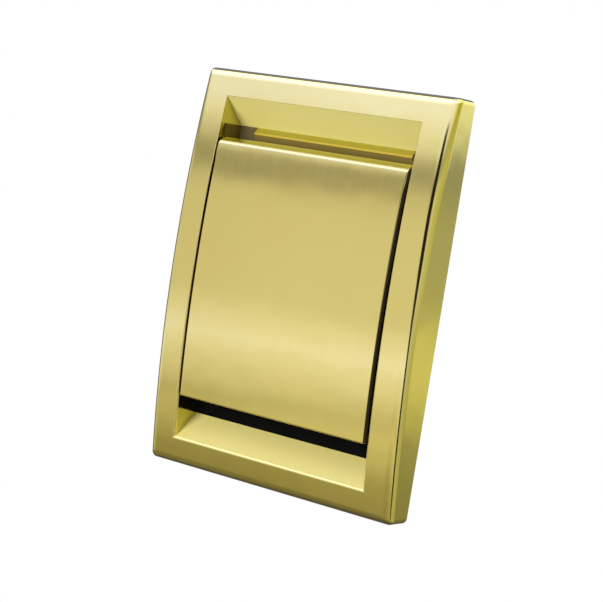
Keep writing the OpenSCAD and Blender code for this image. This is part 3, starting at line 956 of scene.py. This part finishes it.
def build_screws(name, places, face_y, head_r, head_t, sign, shank_r, tip_y, pitch, neck=None):
    """Screws along Y, their heads standing on face_y; neck is the radius and end of a plain part."""
    surface = Surface()
    for place in places:
        screw_head(surface, place, face_y, head_r, head_t, sign)
        start = face_y
        if neck:
            neck_r, start = neck
            profile = [(face_y, neck_r), (start, neck_r), (start, shank_r * 0.8)][:: int(-sign)]
            surface.turned(profile, centre=(place[0], 0, place[1]), steps=40)
        thread(surface, place, start, tip_y, shank_r, pitch)
    return surface.make(name, [bright_steel])


def build_seal():
    """Rubber disc with a raised rib where the collar meets it, and a thinner edge."""
    surface = Surface()
    front, back = SEAL_FRONT_Y, SEAL_BACK_Y
    profile = [(front, BOSS_R + 0.05), (front, SEAL_R - 1.6), (front + 0.25, SEAL_R - 0.5)]
    profile += [(front + 0.8, SEAL_R), (back - 0.75, SEAL_R), (back - 0.35, SEAL_R - 0.3)]
    rib_r, rib_w, rib_t = 21.3, 1.5, 0.3
    for a in np.linspace(0, math.pi, 13):
        profile.append((back - rib_t + rib_t * math.sin(a), rib_r + rib_w * math.cos(a)))
    profile += [(back - 0.3, 17.2), (back, 16.6), (back, BOSS_R + 0.05), (front, BOSS_R + 0.05)]
    surface.turned(profile, "y", (0, 0, 0), 96)
    return surface.make("door_seal", [rubber])


def build_retainer():
    """Pressed steel disc with a rolled rim and a shallow dish."""
    low, high = box_mm("seal_retainer")
    radius = high[0]
    front, back = low[1], high[1]
    surface = Surface()
    profile = [(front, 1.5), (front, radius - 0.4), (front + 0.4, radius), (back - 0.5, radius)]
    profile += [(back - 0.15, radius - 0.15), (back, radius - 0.5), (back, radius - 2.2)]
    profile += [(back - 0.1, radius - 2.6), (back - 0.45, radius - 3.2), (back - 0.5, radius - 3.6)]
    profile += [(back - 0.5, 5.2), (back - 0.4, 4.8), (back - 0.05, 4.2), (back, 3.8)]
    profile += [(back, 1.5), (front, 1.5)]
    surface.turned(profile, "y", (0, 0, 0), 80)
    return surface.make("retainer_disc", [bright_steel])


def build_clips():
    """Push-on clips: an open ring with two small ears."""
    low, high = box_mm("pin_clips")
    surface = Surface()
    thick = 0.6
    for sign in (-1, 1):
        a, b = sorted((sign * (high[0] - thick), sign * high[0]))
        gap = math.radians(32)
        angle = np.linspace(gap, TAU - gap, 49)
        flat = np.stack([np.cos(angle), np.sin(angle)], -1)
        centre = np.array([HINGE_Y, HINGE_Z])
        near = centre + flat * PIN_R
        far_ = centre + flat * (1.68 + 0.12 * np.cos(3 * angle))[:, None]
        for path, out in ((far_, 1), (near, -1)):
            normals = at_x(flat * out, 0)
            surface.strip([(at_x(path, a), normals), (at_x(path, b), normals)])
        for x, out in ((a, -1), (b, 1)):
            normals = same((out, 0, 0), flat)
            surface.strip([(at_x(near, x), normals), (at_x(far_, x), normals)])
        for i in (0, -1):
            d = np.array([-flat[i][1], flat[i][0]]) * (-1 if i == 0 else 1)
            corners = [(a, *near[i]), (b, *near[i]), (b, *far_[i]), (a, *far_[i])]
            surface.polygon(corners, (0, *d))
    return surface.make("push_on_clips", [bright_steel])


def build_bumpers():
    """Domed rubber buffers with a barbed stem."""
    surface = Surface()
    low, high = box_mm("flap_bumpers")
    head_r = (high[2] - low[2]) / 2
    x, z = high[0] - head_r, (low[2] + high[2]) / 2
    front, back = low[1], high[1]
    profile = [(front, 0)]
    for a in np.linspace(0, math.pi / 2, 8):
        profile.append((front + 0.7 * (1 - math.cos(a)), head_r - 0.9 + 0.9 * math.sin(a)))
    profile += [(DEEP_Y - 0.3, head_r), (DEEP_Y, head_r - 0.2), (DEEP_Y, 1.2)]
    profile += [(back - 0.2, 1.2), (back, 1.0), (back, 0)]
    for sign in (-1, 1):
        surface.turned(profile, "y", (sign * x, 0, z), 40)
    return surface.make("door_buffers", [rubber])


# ---------------------------------------------------------------- put the pieces on their bodies


def place_piece(obj, body, replaced):
    """Puts a piece on its body and the CAD node it replaces."""
    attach(obj, body)
    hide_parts(replaced)


place_piece(build_frame(), "body", "face_frame")
place_piece(build_door(), "door", "flap")
place_piece(build_seal(), "door", "flap_seal")
place_piece(build_retainer(), "door", "seal_retainer")
place_piece(build_clips(), "body", "pin_clips")
place_piece(build_bumpers(), "body", "flap_bumpers")

return_spring, spring_body_end, spring_door_end = build_return_spring()
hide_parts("return_spring")
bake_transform(return_spring)

for side_name in ("left", "right"):
    cad_name = "contact_spring_" + side_name
    coil = build_contact_spring(cad_name, "coil_" + side_name)
    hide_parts(cad_name)
    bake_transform(coil)

seal_fixing = build_screws(
    "seal_fixing", [(0, 0)],
    face_y=-7.6, head_r=2.8, head_t=1.2, sign=1, shank_r=1.45, tip_y=-12.4, pitch=0.7,
)
place_piece(seal_fixing, "door", "seal_screw")
terminal_fixings = build_screws(
    "terminal_fixings", [(-29.5, 8.6), (29.5, 8.6)],
    face_y=11.8, head_r=2.7, head_t=1.5, sign=1, shank_r=1.45, tip_y=5.3, pitch=0.6,
)
place_piece(terminal_fixings, "body", "terminal_screws")
body_fixings = build_screws(
    "body_fixings", BODY_SCREWS,
    face_y=-0.2, head_r=2.4, head_t=1.5, sign=1, shank_r=1.25, tip_y=-4.6, pitch=0.6,
)
place_piece(body_fixings, "body", "body_screws")
wall_fixings = build_screws(
    "wall_fixings", [(0, -30), (0, 30)], neck=(2.0, 1.3),
    face_y=-1.2, head_r=3.3, head_t=1.8, sign=-1, shank_r=1.75, tip_y=30, pitch=0.8,
)
place_piece(wall_fixings, "body", "fixing_screws")

# the other CAD nodes keep their shape
kept = {
    "hinge_pin": bright_steel,
    "hinge_bushes": nylon,
    "inlet_body": dull_black,
    "port_tube": black_plastic,
    "contact_housings": black_plastic,
    "spigot_gasket": rubber,
}
for side_name in ("left", "right"):
    for part_name in ("contact_pin_", "contact_cap_", "terminal_"):
        kept[part_name + side_name] = contact_brass
for name, material in kept.items():
    obj = nodes[name]
    for material_slot in obj.material_slots:
        material_slot.material = material
    bevel = obj.modifiers.new("soft_edges", "BEVEL")
    bevel.width = 0.25 * MM if material in (black_plastic, dull_black, rubber) else 0.1 * MM
    bevel.segments = 2
    bevel.limit_method = "ANGLE"
    bevel.angle_limit = math.radians(40)
    bevel.harden_normals = True

# ---------------------------------------------------------------- camera, as the photograph was taken

LENS = 106.4
SENSOR = 36
CAMERA_PLACE = Vector((302.76, -430.18, 36.39))
RIGHT = Vector((0.79759, 0.58247, 0.15677))
DOWN = Vector((0.1723, 0.02907, -0.98462))
AHEAD = Vector((-0.57807, 0.81233, -0.07717))
camera_data = bpy.data.cameras.new("camera")
camera_data.lens = LENS
camera_data.sensor_width = SENSOR
camera_data.clip_start = 0.01
camera_data.clip_end = 50
camera = add_object("camera", camera_data)
turned = Matrix((RIGHT, -DOWN, -AHEAD)).transposed().to_4x4()
camera.matrix_world = Matrix.Translation(CAMERA_PLACE * MM) @ turned
bpy.context.scene.camera = camera

# ---------------------------------------------------------------- surroundings

scene = bpy.context.scene
scene.view_settings.view_transform = "Standard"
scene.view_settings.look = "None"


def math_node(tree, operation, *values):
    node = tree.nodes.new("ShaderNodeMath")
    node.operation = operation
    for socket, value in zip(node.inputs, values):
        if hasattr(value, "is_linked"):
            tree.links.new(value, socket)
        else:
            socket.default_value = value
    return node.outputs[0]


def smooth_step(tree, value, low, high):
    node = tree.nodes.new("ShaderNodeMapRange")
    node.interpolation_type = "SMOOTHSTEP"
    tree.links.new(value, node.inputs["Value"])
    for key, number in (("From Min", low), ("From Max", high)):
        if hasattr(number, "is_linked"):
            tree.links.new(number, node.inputs[key])
        else:
            node.inputs[key].default_value = number
    return node.outputs["Result"]


# the room by height in degrees: (height, brightness, blue share), where a share of 1 is neutral
ROOM_LEFT = [
    (-90, 0.06, 0.6), (-65, 0.12, 0.6), (-50, 0.25, 0.6), (-25, 0.31, 0.6), (-20.7, 0.43, 0.6),
    (-19.8, 0.54, 0.66), (-17, 0.73, 0.75), (-15.5, 0.60, 0.8), (-14, 0.75, 0.95), (-12, 0.87, 1.1),
    (-10.7, 0.93, 1.2), (-9.8, 1.01, 1.45), (-8.7, 0.94, 1.25), (-7.4, 0.89, 1.15), (-5.6, 0.765, 1.0),
    (-3, 0.76, 0.98), (4, 0.74, 0.98), (6.2, 0.68, 1.0), (7.2, 0.52, 1.0), (8.3, 0.40, 1.0),
    (9.4, 0.42, 1.0), (10.4, 0.60, 1.1), (11.4, 0.81, 1.25), (12.8, 0.95, 1.3), (14.8, 1.02, 1.75),
    (22, 1.10, 2.0), (32, 1.3, 2.0), (39, 2.0, 1.8), (46, 3.0, 1.2), (60, 3.0, 1.2), (75, 1.2, 1.1),
    (90, 0.8, 1.0),
]
ROOM_MIDDLE = [
    (-90, 0.06, 0.6), (-40, 0.2, 0.6), (-17, 0.50, 0.68), (-11, 0.53, 0.9), (-2, 0.60, 0.88),
    (3, 0.58, 0.62), (5.5, 0.60, 0.55), (7, 0.56, 0.5), (8.5, 0.42, 0.55), (9.8, 0.50, 0.5),
    (11, 0.80, 0.38), (13, 0.95, 0.36), (16, 1.05, 1.1), (30, 1.3, 1.4),
    (60, 2.4, 1.2), (90, 1.0, 1.0),
]
ROOM_RIGHT = [
    (-90, 0.06, 0.6), (-60, 0.10, 0.6), (-30, 0.16, 0.6), (-14, 0.22, 0.6), (-9.2, 0.30, 0.58),
    (-8.4, 0.37, 0.56), (-6.8, 0.69, 0.54), (-5.3, 0.71, 0.54), (-3.8, 0.45, 0.7), (-1.2, 0.43, 0.8),
    (-0.5, 0.38, 0.85), (0.3, 0.30, 1.0), (0.9, 0.34, 1.05), (1.35, 0.62, 1.05), (1.8, 0.83, 0.95),
    (3, 1.0, 0.9), (14, 1.0, 1.0), (25, 1.2, 1.0), (45, 1.3, 1.0), (90, 0.8, 1.0),
]
ROOM_BACK = [
    (-90, 0.06, 1.0), (-30, 0.12, 1.0), (-8, 0.10, 1.0), (2, 0.10, 1.6), (20, 0.18, 2.0), (56, 0.24, 2.0),
    (60, 0.8, 1.5), (90, 1.0, 1.0),
]
# the brightest value
ROOM_TOP = 3.0
# on the left, how far the upper bands sink for each degree of azimuth, from which azimuth on
SINK = 0.2
SINK_START = 33
# azimuth of the slit by height, both in degrees
SLIT_CENTRE = [(-22, 80), (-14, 68), (-4.7, 46), (0.5, 35.5), (6, 22), (13, 21)]


def room_ramp(tree, stops, height, green=1.0):
    """A colour ramp over the height, from -90 to 90 degrees, as shares of the brightest value."""
    scaled = []
    for degrees, value, blue in stops:
        part = value / ROOM_TOP
        colour = (part, part * green * (1 + 0.11 * (blue - 1)), part * blue)
        scaled.append(((degrees + 90) / 180, colour))
    return ramp(tree, scaled, height)


def build_room():
    world = bpy.data.worlds.new("room")
    scene.world = world
    world.use_nodes = True
    tree = world.node_tree
    calc, step = partial(math_node, tree), partial(smooth_step, tree)
    background = tree.nodes["Background"]
    set_inputs(background, Strength=ROOM_TOP)
    coordinates = tree.nodes.new("ShaderNodeTexCoord")
    parts = tree.nodes.new("ShaderNodeSeparateXYZ")
    tree.links.new(coordinates.outputs["Generated"], parts.inputs[0])
    x, y, z = parts.outputs
    height = calc("ARCSINE", z)
    height_degrees = calc("MULTIPLY", height, 180 / math.pi)
    height_part = calc("MULTIPLY_ADD", height, 1 / math.pi, 0.5)
    front = calc("MULTIPLY", y, -1.0)
    azimuth = calc("ARCTAN2", x, front)
    azimuth_degrees = calc("MULTIPLY", azimuth, 180 / math.pi)
    turn_part = calc("MULTIPLY_ADD", azimuth, 1 / TAU, 0.5)

    # on the left side the upper bands hang lower the further they are from the front
    from_left = calc("MULTIPLY", azimuth_degrees, -1.0)
    further = calc("MINIMUM", calc("MAXIMUM", from_left, 31.0), 41.0)
    sink = calc("MULTIPLY_ADD", further, SINK / 180, -SINK_START * SINK / 180)
    sink = calc("MULTIPLY", sink, step(height_degrees, 2.0, 6.0))
    left = room_ramp(tree, ROOM_LEFT, calc("ADD", height_part, sink))
    middle = room_ramp(tree, ROOM_MIDDLE, height_part, 1.05)
    right = room_ramp(tree, ROOM_RIGHT, height_part, 1.07)
    back = room_ramp(tree, ROOM_BACK, height_part)
    dimmer = ramp(tree, [(0.72, (1.0, 1.03, 1.0)), (0.85, (0.87, 0.88, 0.47))], turn_part)
    middle = mix_colour(tree, 1.0, middle, dimmer, "MULTIPLY")
    dimming = calc("MULTIPLY_ADD", step(height_degrees, -13.0, -18.0), 0.12, 0.07)
    dimmed = mix_colour(tree, dimming, left, (0.0, 0.0, 0.0))
    left = mix_colour(tree, step(from_left, 35.5, 40.0), left, dimmed)
    room = mix_colour(tree, step(azimuth_degrees, 50.0, 75.0), left, middle)
    room = mix_colour(tree, step(azimuth_degrees, 122.0, 138.0), room, right)
    room = mix_colour(tree, step(from_left, 82.0, 104.0), room, back)

    # the dark slit that the camera looks through, which leans to the right as it goes down
    centre = ramp(tree, [((h + 90) / 180, azimuth / 100) for h, azimuth in SLIT_CENTRE], height_part)
    centre = calc("MULTIPLY", centre, 100.0)
    away = calc("ABSOLUTE", calc("SUBTRACT", azimuth_degrees, centre))
    narrower = calc("ADD", step(height_degrees, 1.0, -9.0), 1.0)
    thinner = calc("MULTIPLY", step(height_degrees, 8.0, 14.0), 0.4)
    away = calc("MULTIPLY", away, calc("ADD", narrower, thinner))
    slit = step(away, 21.0, 13.0)
    for outer_end, inner_end in ((14.6, 14.2), (-21.0, -18.7)):
        slit = calc("MULTIPLY", slit, step(height_degrees, outer_end, inner_end))
    room = mix_colour(tree, slit, room, (0.006, 0.006, 0.006))

    seen = tree.nodes.new("ShaderNodeLightPath")
    grey = (0.12 / ROOM_TOP,) * 3
    white = (1 / ROOM_TOP,) * 3
    room = mix_colour(tree, seen.outputs["Is Diffuse Ray"], room, grey)
    room = mix_colour(tree, seen.outputs["Is Camera Ray"], room, white)
    tree.links.new(room, background.inputs["Color"])


def soft_light(name, height, azimuth, power, colour=(1.0, 1.0, 1.0)):
    """A large soft light, a metre away at a height and azimuth in degrees, for the matt surfaces only."""
    data = bpy.data.lights.new(name, "AREA")
    data.energy = power
    data.size = 0.5
    data.color = colour
    light = add_object(name, data)
    up, across = math.radians(height), math.radians(azimuth)
    place = Vector((math.cos(up) * math.sin(across), -math.cos(up) * math.cos(across), math.sin(up)))
    light.location = place
    light.rotation_euler = place.to_track_quat("Z", "Y").to_euler()
    light.visible_glossy = False
    light.visible_camera = False


def build_floor():
    """A plain pale floor, well below the object, lit evenly to the same white as the backdrop."""
    material = bpy.data.materials.new("pale_floor")
    material.use_nodes = True
    tree = material.node_tree
    tree.nodes.clear()
    output = tree.nodes.new("ShaderNodeOutputMaterial")
    glow = add_node(tree, "ShaderNodeEmission", Color=(1, 1, 1, 1), Strength=1.0)
    clear = tree.nodes.new("ShaderNodeBsdfTransparent")
    facing = tree.nodes.new("ShaderNodeNewGeometry")
    blend = tree.nodes.new("ShaderNodeMixShader")
    tree.links.new(facing.outputs["Backfacing"], blend.inputs[0])
    tree.links.new(glow.outputs[0], blend.inputs[1])
    tree.links.new(clear.outputs[0], blend.inputs[2])
    tree.links.new(blend.outputs[0], output.inputs["Surface"])
    size, level = 4.0, -0.25
    mesh = bpy.data.meshes.new("floor")
    corners = [(-size, -size, level), (size, -size, level), (size, size, level), (-size, size, level)]
    mesh.from_pydata(corners, [], [(0, 1, 2, 3)])
    mesh.materials.append(material)
    floor = add_object("floor", mesh)
    floor.visible_glossy = False
    floor.visible_diffuse = False
    floor.visible_shadow = False


build_room()
build_floor()
soft_light("light_above", 9, -10, 6.5)
soft_light("light_below", -9, -10, 2.2, (1.0, 1.0, 0.6))
